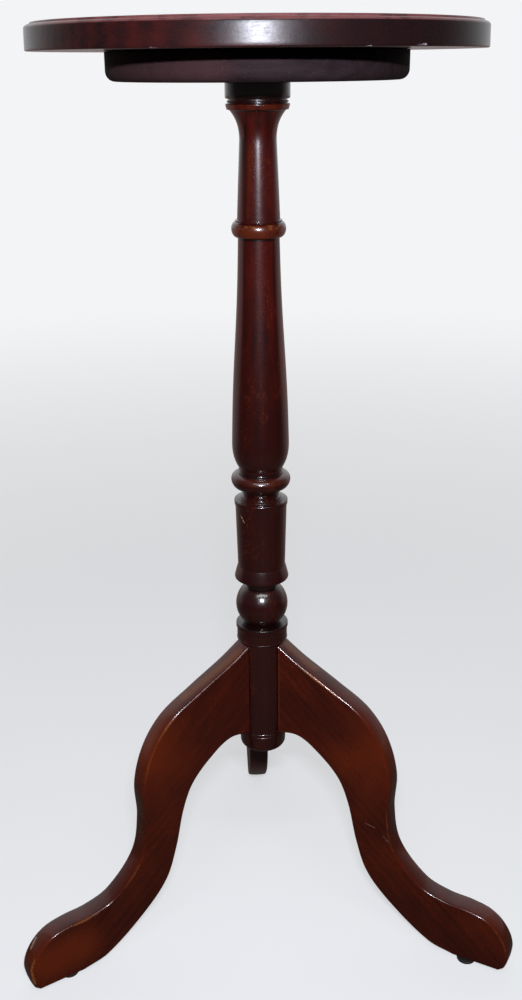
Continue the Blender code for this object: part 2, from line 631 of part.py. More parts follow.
def make_cap(stand, wood):
    """The turned cap that closes the hub from below, with a spigot up into it"""
    top = HUB_FOOT_Z - JOINT_GAP
    edge = Turning(CAP_LIP_RADIUS - CAP_LIP_ARRIS)
    edge.round_out(CAP_LIP_RADIUS, CAP_LIP_ARRIS, 3)
    edge.line(CAP_LIP_RADIUS, CAP_LIP_HEIGHT - CAP_LIP_ARRIS)
    edge.line(CAP_QUIRK_RADIUS, CAP_QUIRK_HEIGHT)
    edge.line(CAP_FACE_RADIUS, CAP_QUIRK_HEIGHT)
    edge.line(CAP_EDGE_RADIUS, CAP_FACE_HEIGHT)
    edge.round_under(CAP_BASE_RADIUS, CAP_ROUNDING_HEIGHT, 5)
    drop = edge.points[0][1] - edge.points[-1][1]
    spigot_top = top + SPIGOT_LENGTH
    outline = [(0.0, spigot_top), (SPIGOT_RADIUS - SPIGOT_CHAMFER, spigot_top),
               (SPIGOT_RADIUS, spigot_top - SPIGOT_CHAMFER), (SPIGOT_RADIUS, top)]
    outline += edge.placed(top - drop) + [(0.0, top - drop)]
    cap = add_object("drop_cap", turned(outline, COLUMN_SIDES), stand)
    return dress(cap, wood)


def build():
    clear_scene()
    stand = bpy.data.objects.new("stand_axis", None)
    bpy.context.scene.collection.objects.link(stand)
    stand.location = (0.0, column_y(), 0.0)
    turned_wood = finish("turned_wood", WOOD_DARK, 0.3)
    leg_wood = finish("leg_wood", WOOD_RED, 0.3)
    bare_wood = finish("bare_wood", WOOD_RAW, 0.6)
    steel = finish("screw_steel", STEEL, 0.35, 1.0)
    plastic = finish("glide_plastic", PLASTIC_BROWN, 0.5)
    make_top(stand, turned_wood)
    make_cleat(stand, turned_wood, steel)
    make_column(stand, turned_wood)
    make_wedge(stand, bare_wood)
    make_cap(stand, turned_wood)
    for name, turn in zip(LEG_NAMES, LEG_TURNS):
        make_leg(stand, name, turn, leg_wood)
        make_dowels(stand, name, turn, bare_wood)
        make_glide(stand, name, turn, plastic)
    bpy.context.view_layer.update()


build()
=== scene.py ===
"""Looks of a tripod fern stand in mahogany-stained, semi-gloss lacquered wood.

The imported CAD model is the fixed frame. Each piece that shows is modelled again with its full mouldings,
crowned edges and eased arrises, in the place of its CAD node, and the hidden joinery keeps its CAD solids
with a better finish. Shapes are in millimetres, with heights above the soles of the feet. Marks and bands in
the finishes, the camera and the lamps are in metres, in the frame's own axes.
"""
import math
from functools import partial, reduce

import bmesh
import bpy
from mathutils import Matrix, Vector
from mathutils.geometry import interpolate_bezier


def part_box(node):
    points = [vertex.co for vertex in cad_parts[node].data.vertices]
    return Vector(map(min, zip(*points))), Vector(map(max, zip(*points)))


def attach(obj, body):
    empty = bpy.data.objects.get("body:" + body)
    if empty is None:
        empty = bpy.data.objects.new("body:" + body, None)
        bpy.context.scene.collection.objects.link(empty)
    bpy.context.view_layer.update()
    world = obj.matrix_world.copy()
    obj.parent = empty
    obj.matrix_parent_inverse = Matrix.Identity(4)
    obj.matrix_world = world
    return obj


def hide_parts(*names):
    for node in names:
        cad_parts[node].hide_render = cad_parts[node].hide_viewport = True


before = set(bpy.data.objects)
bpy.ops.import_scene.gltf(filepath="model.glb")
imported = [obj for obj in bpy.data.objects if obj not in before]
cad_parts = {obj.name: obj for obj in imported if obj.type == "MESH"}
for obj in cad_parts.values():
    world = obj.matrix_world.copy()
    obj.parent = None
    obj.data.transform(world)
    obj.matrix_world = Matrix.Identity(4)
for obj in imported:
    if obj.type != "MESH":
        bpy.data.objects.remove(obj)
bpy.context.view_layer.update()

MM = 0.001
MERGE = 0.00001
QUARTER_TURN = math.pi / 2

# Places that the frame gives
TOP_LOW, TOP_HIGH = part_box("table_top")
AXIS = Vector((0.0, (TOP_LOW.y + TOP_HIGH.y) / 2, 0.0))
SOLE_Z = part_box("leg_rear")[0].z

# How finely the shapes are cut
COLUMN_SIDES = 96
PLATE_SIDES = 192
SMALL_SIDES = 40
LINE_STEP = 2.0
CURVE_STEP = 0.7
LEG_CURVE_STEP = 2.0
MOST_LINE_STEPS = 60
LEVEL_FALL = 1.0
SHORT_LEVEL = 12.0
CREASE_ANGLE = math.radians(46)
ARRIS_ANGLE = math.radians(24)
TURNED_ARRIS = 0.18
TURNED_ARRIS_SEGMENTS = 3
ARRIS_REACH = 1.1

# How a member runs: its longest step, its fewest steps, its shares of the fall and of the change in radius
MEMBER_RUNS = {
    "line": (LINE_STEP, 1, lambda t: (t, t)),
    "round_out": (CURVE_STEP, 3, lambda t: (1 - math.cos(t * QUARTER_TURN), math.sin(t * QUARTER_TURN))),
    "round_under": (CURVE_STEP, 3, lambda t: (math.sin(t * QUARTER_TURN), 1 - math.cos(t * QUARTER_TURN))),
    "cove": (CURVE_STEP, 5, lambda t: (t, 1 - (1 - t) ** 2.5)),
    "swell": (LINE_STEP, 1, lambda t: (t, t - 0.067 * math.sin(2 * math.pi * t))),
    "flare": (CURVE_STEP, 1, lambda t: (t, t ** 0.85)),
    "belly": (CURVE_STEP, 1, lambda t: (t, t ** 2.5)),
}

# The turned edges, from the top down: member, radius it ends at, fall. A ball has its radius and its foot's.
TOP_START_RADIUS = 140.0
TOP_MEMBERS = (
    ("line", 164.6, 0.0), ("round_out", 165.4, 0.6), ("line", 165.6, 0.9), ("line", 166.3, 0.0),
    ("round_out", 169.6, 2.8), ("line", 170.0, 13.6), ("round_under", 169.2, 1.1), ("line", 0.0, 0.0),
)
CLEAT_BORE_RADIUS = 12.8
CLEAT_MEMBERS = (
    ("line", 112.6, 0.0), ("round_out", 113.1, 0.5), ("line", 113.1, 12.9), ("round_under", 106.3, 7.3),
    ("line", CLEAT_BORE_RADIUS, 0.0),
)
TENON_START_RADIUS = 9.0
HUB_RADIUS = 21.8
HUB_FLAT_REACH = 20.3
HUB_TOP = 275.6
HUB_FOOT = 185.0
HUB_FLAT_MARGIN = 0.1
COLUMN_MEMBERS = (
    # tenon
    ("line", 12.1, 0.0), ("line", 12.5, 0.4), ("line", 12.5, 20.0),
    # collar, quirk, astragal and flange
    ("line", 24.9, 0.0), ("line", 24.9, 11.0), ("round_under", 23.4, 1.65), ("line", 22.6, 0.0),
    ("line", 22.6, 1.1), ("round_out", 23.6, 0.8), ("round_under", 22.7, 0.9), ("line", 22.6, 0.55),
    ("line", 23.9, 0.0), ("round_out", 24.7, 0.7), ("line", 23.6, 3.65), ("line", 21.8, 0.15),
    # cavetto and upper shaft
    ("cove", 14.45, 21.3), ("line", 16.95, 60.0),
    # bead
    ("line", 18.6, 0.0), ("line", 18.5, 1.3), ("round_out", 21.6, 5.4), ("round_under", 17.3, 6.6),
    ("line", 16.5, 0.5),
    # vase
    ("swell", 24.0, 169.0), ("belly", 18.6, 22.2), ("line", 18.3, 3.5),
    # lower ring
    ("line", 19.4, 0.0), ("line", 19.4, 1.5), ("round_out", 25.2, 5.5), ("round_under", 19.0, 7.6),
    ("line", 18.0, 0.0), ("line", 17.8, 1.5), ("cove", 15.5, 6.4),
    # stepped shoulder of the drum
    ("line", 17.6, 0.2), ("line", 17.7, 1.3), ("line", 19.1, 0.2), ("line", 19.2, 0.8),
    ("line", 22.2, 0.5), ("round_out", 22.95, 0.7), ("line", 22.7, 3.4), ("line", 22.05, 1.6),
    # drum and skirt
    ("line", 20.6, 55.5), ("flare", 23.6, 10.8), ("line", 23.5, 0.9), ("round_under", 19.0, 1.8),
    ("cove", 14.0, 4.9), ("line", 14.0, 1.8),
    # ball, hub collar and band
    ("ball", 22.9, 14.2), ("line", 22.1, 0.0), ("round_out", 23.1, 1.0), ("line", 23.1, 2.9),
    ("round_under", 22.5, 0.8), ("line", 22.3, 0.6), ("line", 22.3, 9.4), ("line", 22.6, 0.15),
    ("line", 22.6, 0.65), ("round_under", 21.9, 0.6), ("line", HUB_RADIUS, 0.3),
)
CAP_TOP = 184.7
CAP_START_RADIUS = 6.0
CAP_MEMBERS = (
    ("line", 20.8, 0.0), ("round_out", 21.8, 0.9), ("line", 21.8, 1.5), ("round_under", 21.2, 0.7),
    ("line", 20.9, 0.5), ("line", 21.2, 0.3), ("line", 21.2, 1.1), ("line", 20.7, 10.0),
    ("round_under", 13.8, 5.8), ("round_under", 0.0, 0.4),
)

# Legs: edges as shares of their reach and rise, board section, and the run of the grain in the board
LEG_REACH = 247.5
LEG_RISE = 275.0
LEG_BUTT_HEIGHT = 90.0
LEG_THICKNESS = 19.1
LEG_BUTT_REACH = 20.6
LEG_TOP_EDGE_SHARES = (
    (0.156, 0.956), (0.291, 0.888), (0.412, 0.820), (0.489, 0.727), (0.530, 0.603), (0.527, 0.470),
    (0.556, 0.343), (0.660, 0.236), (0.752, 0.2065), (0.840, 0.200), (0.912, 0.184), (0.9665, 0.143),
    (0.998, 0.080), (0.990, 0.020),
)
LEG_SOLE_SHARES = ((0.968, 0.0), (0.797, 0.0))
LEG_UNDER_EDGE_SHARES = (
    (0.698, 0.023), (0.541, 0.128), (0.447, 0.2235), (0.401, 0.335), (0.364, 0.474), (0.321, 0.562),
    (0.237, 0.638), (0.162, 0.678),
)
LEG_ARRIS_RADIUS = 2.2
LEG_ARRIS_STEPS = 6
LEG_ARRIS_END_WEAR = 0.7
LEG_CROWN = ((0.03, 2.2), (0.10, 2.2), (0.16, 1.6))
LEG_CROWN_END = (0.16, 0.2)
LEG_FACE_LOOPS = ((0.4, 0.3), (0.6, 0.0))
LEG_TENON_ROOM = 5.0
LEG_GRAIN_TURN = math.radians(43)
LEG_BOARD_STEP = 0.3
LEG_NAMES = ("leg_front_right", "leg_rear", "leg_front_left")
LEG_TURNS = tuple(math.radians(-30 + 120 * i) for i in range(3))

# Glides, and screws with the well and the cross recess that are cut for them
GLIDE_REACH = 208.485
GLIDE_SLIP = 4.0
GLIDE_START_RADIUS = 0.9
GLIDE_THICKNESS = 2.5
GLIDE_MEMBERS = (
    ("line", 8.1, 0.0), ("round_out", 8.5, 0.3), ("line", 8.5, 1.0), ("round_under", 7.5, 1.2),
    ("line", 2.6, 0.0), ("line", 2.4, -0.3), ("line", 0.0, 0.0),
)
SCREW_CIRCLE_RADIUS = 76.0
SCREW_POINT_LENGTH = 3.0
SCREW_START_RADIUS = 0.6
SCREW_MEMBERS = (
    ("line", 1.5, 0.0), ("round_out", 2.1, 1.4), ("line", 2.1, 11.0), ("line", 2.1, 12.2),
    ("line", 4.1, 2.9), ("round_under", 4.2, 0.2), ("line", 0.0, 0.05),
)
SCREW_SINK = 0.4
SCREW_WELL = ((0.0, -4.0), (4.5, -4.0), (4.5, SCREW_SINK), (2.4, 3.4), (2.4, 40.0), (0.0, 40.0))
CROSS_SLOT_SIZE = (4.6, 1.0, 3.2)
CROSS_SLOT_TURNS = (20, 110)

# Tones that several finishes share
RUBBED = (0.26, 0.085, 0.022, 1.0)
BARE = (0.62, 0.40, 0.20, 1.0)
GOLD = (0.30, 0.11, 0.028, 1.0)
# painted shade for the quirks and crevices
PAINTED_SHADE = (0.0030, 0.0016, 0.0014, 1.0)
DUST = (0.30, 0.27, 0.25, 1.0)
PALE_CHIP = (0.62, 0.56, 0.56, 1.0)
TAN_CHIP = (0.55, 0.40, 0.28, 1.0)
ORANGE_ARRIS = (0.160, 0.0450, 0.0100, 1.0)

# Camera, in the place that the photograph was taken from
CAMERA_DISTANCE = 0.8958
CAMERA_HEIGHT = 0.7582
CAMERA_AZIMUTH = math.radians(-2.46)
CAMERA_PITCH = math.radians(21.381)
CAMERA_ROLL = math.radians(-0.488)
CAMERA_LENS = 40.27
CAMERA_SENSOR = 36.0
CAMERA_CLIP_START = 0.01

# Studio
BACKDROP = (0.90, 0.905, 0.92, 1.0)
FLOOR_TONE = (0.065, 0.055, 0.045, 1.0)
MIRRORED_FLOOR = (0.94, 0.67, 0.65, 1.0)
FLOOR_RADIUS = 9.0
FLOOR_SIDES = 96
ROOM_TONE = (0.96, 0.97, 1.0, 1.0)
ROOM_LEVEL = 0.052
ROOM_LIFT_ABOVE = 0.03
ROOM_LIFT_BEHIND = 0.50
LAMP_AIM_HEIGHT = 0.42


# Outlines and meshes


def member_points(kind, start, height, radius, fall):
    """The points down one member, after the radius and height where the last one ended"""
    step, fewest, run = MEMBER_RUNS[kind]
    steps = max(fewest, round(math.hypot(radius - start, fall) / step))
    if kind == "line":
        short_level = abs(fall) < LEVEL_FALL and abs(radius - start) < SHORT_LEVEL
        steps = 1 if short_level else min(steps, MOST_LINE_STEPS)
    points = []
    for i in range(1, steps + 1):
        down, across = run(i / steps)
        points.append((start + (radius - start) * across, height - fall * down))
    return points


def ball_points(start, height, radius, foot_radius):
    """The points down a ball, from the radius of the neck above it to that of its foot"""
    top = math.acos(start / radius)
    foot = -math.acos(foot_radius / radius)
    centre = height - radius * math.sin(top)
    steps = round(radius * (top - foot) / CURVE_STEP)
    angles = [top + (foot - top) * i / steps for i in range(1, steps + 1)]
    return [(radius * math.cos(angle), centre + radius * math.sin(angle)) for angle in angles]


def walk(members, radius, height):
    """The outline of a table of members, as (radius, height) pairs in millimetres"""
    points = [(radius, height)]
    for kind, *sizes in members:
        if kind == "ball":
            points += ball_points(*points[-1], *sizes)
        else:
            points += member_points(kind, *points[-1], *sizes)
    return points


def at_sole(points):
    """Lift an outline from its heights above the soles to its heights above the floor"""
    return [(radius, height + SOLE_Z / MM) for radius, height in points]


def whole(form):
    """All that a bmesh has, as geometry for an operator"""
    return form.verts[:] + form.edges[:] + form.faces[:]


def to_object(name, form):
    """Turn a bmesh into an object of the scene"""
    mesh = bpy.data.meshes.new(name)
    form.to_mesh(mesh)
    form.free()
    made = bpy.data.objects.new(name, mesh)
    bpy.context.scene.collection.objects.link(made)
    return made


def finish_piece(name, form, material, nodes):
    """Make an object of a bmesh, give it its finish and let it stand for its CAD nodes"""
    piece = to_object(name, form)
    piece.data.materials.append(material)
    piece.data.shade_smooth()
    piece.data.set_sharp_from_angle(angle=CREASE_ANGLE)
    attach(piece, "root")
    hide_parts(*nodes)
    return piece


def sharp_rings(form):
    """The ring edges on the outer arrises of a spun form"""
    found = []
    for edge in form.edges:
        a, b = (v.co for v in edge.verts)
        if abs(a.z - b.z) > MERGE or abs(a.xy.length - b.xy.length) > MERGE or not edge.is_manifold:
            continue
        if edge.calc_face_angle_signed() > ARRIS_ANGLE:
            found.append(edge)
    return found


def spun(points, sides, closed=False):
    """Spin an outline in millimetres round the Z axis and ease its outer arrises"""
    form = bmesh.new()
    verts = [form.verts.new((radius * MM, 0.0, height * MM)) for radius, height in points]
    pairs = list(zip(verts, verts[1:]))
    if closed:
        pairs.append((verts[-1], verts[0]))
    edges = [form.edges.new(pair) for pair in pairs]
    bmesh.ops.spin(form, geom=verts + edges, cent=(0.0, 0.0, 0.0), axis=(0.0, 0.0, 1.0),
                   angle=2 * math.pi, steps=sides, use_merge=True, use_duplicate=False)
    bmesh.ops.remove_doubles(form, verts=form.verts[:], dist=MERGE)
    bmesh.ops.recalc_face_normals(form, faces=form.faces[:])
    rings = sharp_rings(form)
    arrises = sorted({(round(e.verts[0].co.xy.length, 6), round(e.verts[0].co.z, 6)) for e in rings})
    bmesh.ops.bevel(form, geom=rings, offset=TURNED_ARRIS * MM, offset_type="OFFSET", affect="EDGES",
                    segments=TURNED_ARRIS_SEGMENTS, profile=0.5, material=-1, clamp_overlap=True)
    return form, arrises


def mark_turning(form, arrises, along):
    """Note how near each point is to an arris, and its place in the wood with the grain first"""
    worn = form.verts.layers.float.new("arris")
    grain = form.verts.layers.float_vector.new("wood_place")
    for vert in form.verts:
        radius, height = vert.co.xy.length, vert.co.z
        near = min((math.hypot(radius - r, height - z) for r, z in arrises), default=1.0)
        vert[worn] = math.exp(-(near / (ARRIS_REACH * MM)) ** 2)
        x, y, z = vert.co
        vert[grain] = (z, x, y) if along == "Z" else (x, y, z)


def turned_piece(name, points, sides, along, material, nodes, place=AXIS, closed=False):
    """A whole turned piece at its place"""
    form, arrises = spun(points, sides, closed)
    mark_turning(form, arrises, along)
    bmesh.ops.translate(form, vec=place, verts=form.verts[:])
    return finish_piece(name, form, material, nodes)


def cutter_object(form, place):
    """A loose solid for cut_out"""
    bmesh.ops.translate(form, vec=place, verts=form.verts[:])
    return to_object("cutter", form)


def cut_out(piece, cutters):
    """Cut loose solids out of a finished piece"""
    for cutter in cutters:
        modifier = piece.modifiers.new("cut", "BOOLEAN")
        modifier.operation = "DIFFERENCE"
        modifier.solver = "EXACT"
        modifier.object = cutter
    depsgraph = bpy.context.evaluated_depsgraph_get()
    mesh = bpy.data.meshes.new_from_object(piece.evaluated_get(depsgraph))
    piece.modifiers.clear()
    piece.data = mesh
    for cutter in cutters:
        bpy.data.objects.remove(cutter)


# The turned pieces


def screw_places():
    """Where the cleat's screws stand, on the cleat's underside"""
    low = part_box("top_cleat")[0].z
    turns = [math.radians(45 + 90 * i) for i in range(4)]
    return [AXIS + Vector((math.cos(t), math.sin(t), 0.0)) * SCREW_CIRCLE_RADIUS * MM
            + Vector((0.0, 0.0, low)) for t in turns]


def make_top(finish):
    """The round top, with an ovolo and a fillet round its upper edge"""
    height = (TOP_HIGH.z - SOLE_Z) / MM
    points = at_sole([(0.0, height)] + walk(TOP_MEMBERS, TOP_START_RADIUS, height))
    return turned_piece("top_board", points, PLATE_SIDES, "X", finish, ["table_top"])


def make_cleat(finish):
    """The round cleat with its mortise and four countersunk wells"""
    high = (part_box("top_cleat")[1].z - SOLE_Z) / MM
    points = at_sole(walk(CLEAT_MEMBERS, CLEAT_BORE_RADIUS, high))
    cleat = turned_piece("cleat_disc", points, PLATE_SIDES, "X", finish, ["top_cleat"],
                         closed=True)
    cut_out(cleat, [cutter_object(spun(SCREW_WELL, SMALL_SIDES)[0], place) for place in screw_places()])
    return cleat


def make_column(finish):
    """The turned column, with the three flats that its legs butt on"""
    top = HUB_TOP - walk(COLUMN_MEMBERS, TENON_START_RADIUS, 0.0)[-1][1]
    hub = walk((("line", HUB_RADIUS, HUB_TOP - HUB_FOOT),), HUB_RADIUS, HUB_TOP)
    points = [(0.0, top)] + walk(COLUMN_MEMBERS, TENON_START_RADIUS, top) + hub[1:] + [(0.0, HUB_FOOT)]
    form, arrises = spun(at_sole(points), COLUMN_SIDES)
    for turn in LEG_TURNS:
        out = Vector((math.cos(turn), math.sin(turn), 0.0))
        for vert in form.verts:
            past = vert.co.dot(out) - HUB_FLAT_REACH * MM
            if past > 0.0 and vert.co.z < SOLE_Z + (HUB_TOP + HUB_FLAT_MARGIN) * MM:
                vert.co -= out * past
    mark_turning(form, arrises, "Z")
    bmesh.ops.translate(form, vec=AXIS, verts=form.verts[:])
    return finish_piece("turned_column", form, finish, ["column"])


def make_cap(finish):
    """The turned cap under the hub"""
    points = [(0.0, CAP_TOP)] + walk(CAP_MEMBERS, CAP_START_RADIUS, CAP_TOP)
    return turned_piece("turned_cap", at_sole(points), COLUMN_SIDES, "Z", finish, ["drop_cap"])


# Legs


def leg_curve(knots):
    """A smooth line through the knots, of Bezier spans whose handles follow the neighbouring knots"""
    line = []
    for i in range(len(knots) - 1):
        before = knots[max(i - 1, 0)]
        here, there = knots[i], knots[i + 1]
        beyond = knots[min(i + 2, len(knots) - 1)]
        span = (there - here).length
        out = (there - before).normalized() * span / 3
        back = (beyond - here).normalized() * span / 3
        steps = max(3, round(span / LEG_CURVE_STEP))
        line += interpolate_bezier(here, here + out, there - back, there, steps + 1)[:-1]
    return line + [knots[-1]]


def leg_outline():
    """The sawn outline in the board's plane, run on a little past the butt"""
    def placed(shares):
        """Points at their shares of the leg's reach and rise"""
        return [Vector((across * LEG_REACH, 0.0, up * LEG_RISE)) for across, up in shares]

    inner = LEG_BUTT_REACH - LEG_TENON_ROOM
    butt_top = Vector((LEG_BUTT_REACH, 0.0, LEG_RISE))
    butt_foot = Vector((LEG_BUTT_REACH, 0.0, LEG_RISE - LEG_BUTT_HEIGHT))
    toe, heel = placed(LEG_SOLE_SHARES)
    upper = leg_curve([butt_top] + placed(LEG_TOP_EDGE_SHARES) + [toe])
    under = leg_curve([heel] + placed(LEG_UNDER_EDGE_SHARES) + [butt_foot])
    return [Vector((inner, 0.0, LEG_RISE))] + upper + under + [Vector((inner, 0.0, butt_foot.z))]


def board_section():
    """Steps in from the middle of the board's edge to its side: inset, rise and nearness to the arris"""
    steps = [(inset, rise, 0.0) for inset, rise in LEG_CROWN]
    rest = LEG_THICKNESS / 2 - LEG_ARRIS_RADIUS - sum(rise for _, rise, _ in steps)
    steps.append((LEG_CROWN_END[0], rest, LEG_CROWN_END[1]))
    for i in range(1, LEG_ARRIS_STEPS + 1):
        a = QUARTER_TURN * (i - 1) / LEG_ARRIS_STEPS
        b = QUARTER_TURN * i / LEG_ARRIS_STEPS
        near = math.sin(b) ** 0.5 if i < LEG_ARRIS_STEPS else LEG_ARRIS_END_WEAR
        steps.append((LEG_ARRIS_RADIUS * (math.cos(a) - math.cos(b)),
                      LEG_ARRIS_RADIUS * (math.sin(b) - math.sin(a)), near))
    return steps + [(inset, 0.0, near) for inset, near in LEG_FACE_LOOPS]


def make_leg(name, turn, number, finish):
    """One leg, shaped from the middle of its board to a crowned edge and eased arrises, then mirrored"""
    form = bmesh.new()
    worn = form.verts.layers.float.new("arris")
    wood = form.verts.layers.float_vector.new("wood_place")
    face = form.faces.new([form.verts.new(p * MM) for p in leg_outline()])
    face.normal_update()
    if face.normal.y < 0.0:
        face.normal_flip()
    for inset, rise, near in board_section():
        bmesh.ops.inset_region(form, faces=[face], thickness=inset * MM, depth=rise * MM,
                               use_even_offset=True, use_boundary=True)
        for vert in face.verts:
            vert[worn] = near
    bmesh.ops.mirror(form, geom=whole(form), axis="Y", matrix=Matrix.Identity(4), merge_dist=MERGE)
    bmesh.ops.recalc_face_normals(form, faces=form.faces[:])
    cut = bmesh.ops.bisect_plane(form, geom=whole(form), dist=MERGE, plane_co=(LEG_BUTT_REACH * MM, 0.0, 0.0),
                                 plane_no=(1.0, 0.0, 0.0), clear_inner=True)
    rim = [e for e in cut["geom_cut"] if isinstance(e, bmesh.types.BMEdge)]
    bmesh.ops.edgeloop_fill(form, edges=rim)
    bmesh.ops.recalc_face_normals(form, faces=form.faces[:])
    for vert in form.verts:
        vert[wood] = (vert.co.x, vert.co.z, vert.co.y + LEG_BOARD_STEP * number)
    bmesh.ops.rotate(form, cent=(0.0, 0.0, 0.0), matrix=Matrix.Rotation(turn, 3, "Z"), verts=form.verts[:])
    bmesh.ops.translate(form, vec=AXIS + Vector((0.0, 0.0, SOLE_Z)), verts=form.verts[:])
    return finish_piece(name.replace("leg", "leg_board"), form, finish, [name])


# Small pieces


def make_screw(number, place, finish):
    """A countersunk screw with a cross recess in its head, which looks down"""
    length = sum(fall for *_, fall in SCREW_MEMBERS)
    points = [(0.0, length + SCREW_POINT_LENGTH)] + walk(SCREW_MEMBERS, SCREW_START_RADIUS, length)
    form, arrises = spun(points, SMALL_SIDES)
    mark_turning(form, arrises, "Z")
    seat = place + Vector((0.0, 0.0, SCREW_SINK * MM))
    bmesh.ops.translate(form, vec=seat, verts=form.verts[:])
    screw = finish_piece("screw_%d" % number, form, finish, ["cleat_screw_%d" % number])
    slots = []
    for turn in CROSS_SLOT_TURNS:
        slot = bmesh.new()
        bmesh.ops.create_cube(slot, size=MM)
        bmesh.ops.scale(slot, vec=CROSS_SLOT_SIZE, verts=slot.verts[:])
        bmesh.ops.rotate(slot, cent=(0.0, 0.0, 0.0), matrix=Matrix.Rotation(math.radians(turn), 3, "Z"),
                         verts=slot.verts[:])
        slots.append(cutter_object(slot, seat))
    cut_out(screw, slots)
    return screw


def make_glide(leg_name, turn, finish):
    """A moulded glide under a foot; the front right one sits off the middle"""
    slip = -GLIDE_SLIP if leg_name == "leg_front_right" else 0.0
    out = Vector((math.cos(turn), math.sin(turn), 0.0))
    side = Vector((-math.sin(turn), math.cos(turn), 0.0))
    place = AXIS + (out * GLIDE_REACH + side * slip) * MM
    points = [(0.0, GLIDE_THICKNESS)] + walk(GLIDE_MEMBERS, GLIDE_START_RADIUS, GLIDE_THICKNESS)
    return turned_piece(leg_name.replace("leg", "glide_disc"), points, SMALL_SIDES, "Z", finish,
                        [leg_name.replace("leg", "glide")], place)


# Nodes


def fill(tree, made, inputs):
    """Set or link each input of a node"""
    for key, value in inputs.items():
        if isinstance(value, bpy.types.NodeSocket):
            tree.links.new(value, made.inputs[key])
        else:
            made.inputs[key].default_value = value
    return made


def node(tree, kind, inputs=None, **settings):
    """Add a node, with its settings, and with each input set or linked"""
    made = tree.nodes.new(kind)
    for key, value in settings.items():
        setattr(made, key, value)
    return fill(tree, made, inputs or {})


def math_node(tree, operation, a, b=0.0):
    """Maths with two values"""
    return node(tree, "ShaderNodeMath", {0: a, 1: b}, operation=operation, use_clamp=False).outputs[0]


def plus(tree, a, b):
    """The sum of two values"""
    return math_node(tree, "ADD", a, b)


def times(tree, a, b):
    """The product of two values"""
    return math_node(tree, "MULTIPLY", a, b)


def most(tree, a, b):
    """The larger of two values"""
    return math_node(tree, "MAXIMUM", a, b)


def apart(tree, a, b):
    """How far apart two values are"""
    return math_node(tree, "ABSOLUTE", math_node(tree, "SUBTRACT", a, b))


def vector_node(tree, operation, a, b=(0.0, 0.0, 0.0)):
    """Maths with vectors; a length or a dot product gives a value"""
    made = node(tree, "ShaderNodeVectorMath", {0: a, 1: b}, operation=operation)
    return made.outputs["Value" if operation in ("LENGTH", "DOT_PRODUCT") else "Vector"]


def scaled(tree, vector, scale):
    """A vector made longer or shorter"""
    return node(tree, "ShaderNodeVectorMath", {0: vector, "Scale": scale}, operation="SCALE").outputs[0]


def along_axis(tree, vector, axis):
    """A vector's share along X, Y or Z"""
    return node(tree, "ShaderNodeSeparateXYZ", {0: vector}).outputs[axis]


def object_place(tree):
    """Where a point of the piece lies in the frame"""
    return node(tree, "ShaderNodeTexCoord").outputs["Object"]


def noise(tree, place, scale, detail, roughness=0.5):
    """Even noise over a place"""
    return node(tree, "ShaderNodeTexNoise", {"Vector": place, "Scale": scale, "Detail": detail,
                                             "Roughness": roughness}).outputs[0]


def stretched_noise(tree, place, stretch, detail):
    """Noise over a place whose first axis runs with the grain"""
    return noise(tree, vector_node(tree, "MULTIPLY", place, stretch), 1.0, detail, 0.55)


def ramp(tree, value, low, high, start=0.0, end=1.0):
    """Run a value from start to end between low and high, smoothly"""
    return node(tree, "ShaderNodeMapRange", {"Value": value, "From Min": low, "From Max": high,
                                             "To Min": start, "To Max": end},
                interpolation_type="SMOOTHSTEP").outputs[0]


def mixed(tree, share, a, b):
    """Blend two colours"""
    return node(tree, "ShaderNodeMix", {"Factor": share, 6: a, 7: b}, data_type="RGBA").outputs[2]


def bumped(tree, height, strength, distance):
    """The normal over a height"""
    return node(tree, "ShaderNodeBump", {"Height": height, "Strength": strength,
                                         "Distance": distance}).outputs[0]


def new_group(name, inputs, outputs):
    """An empty shader group with named inputs, each with its kind and first value, and outputs of values"""
    group = bpy.data.node_groups.new(name, "ShaderNodeTree")
    for label, kind, value in inputs:
        socket = group.interface.new_socket(name=label, in_out="INPUT", socket_type="NodeSocket" + kind)
        if value is not None:
            socket.default_value = value
    for label in outputs:
        group.interface.new_socket(name=label, in_out="OUTPUT", socket_type="NodeSocketFloat")
    return group, group.nodes.new("NodeGroupInput").outputs, group.nodes.new("NodeGroupOutput")


def group_node(tree, group, **inputs):
    """The outputs of a group that is placed with each input set or linked"""
    return fill(tree, node(tree, "ShaderNodeGroup", node_tree=group), inputs).outputs


def new_material(name):
    """A material with its node tree and its Principled shader"""
    material = bpy.data.materials.new(name)
    material.use_nodes = True
    return material, material.node_tree, material.node_tree.nodes["Principled BSDF"]


# Effects that the finishes share


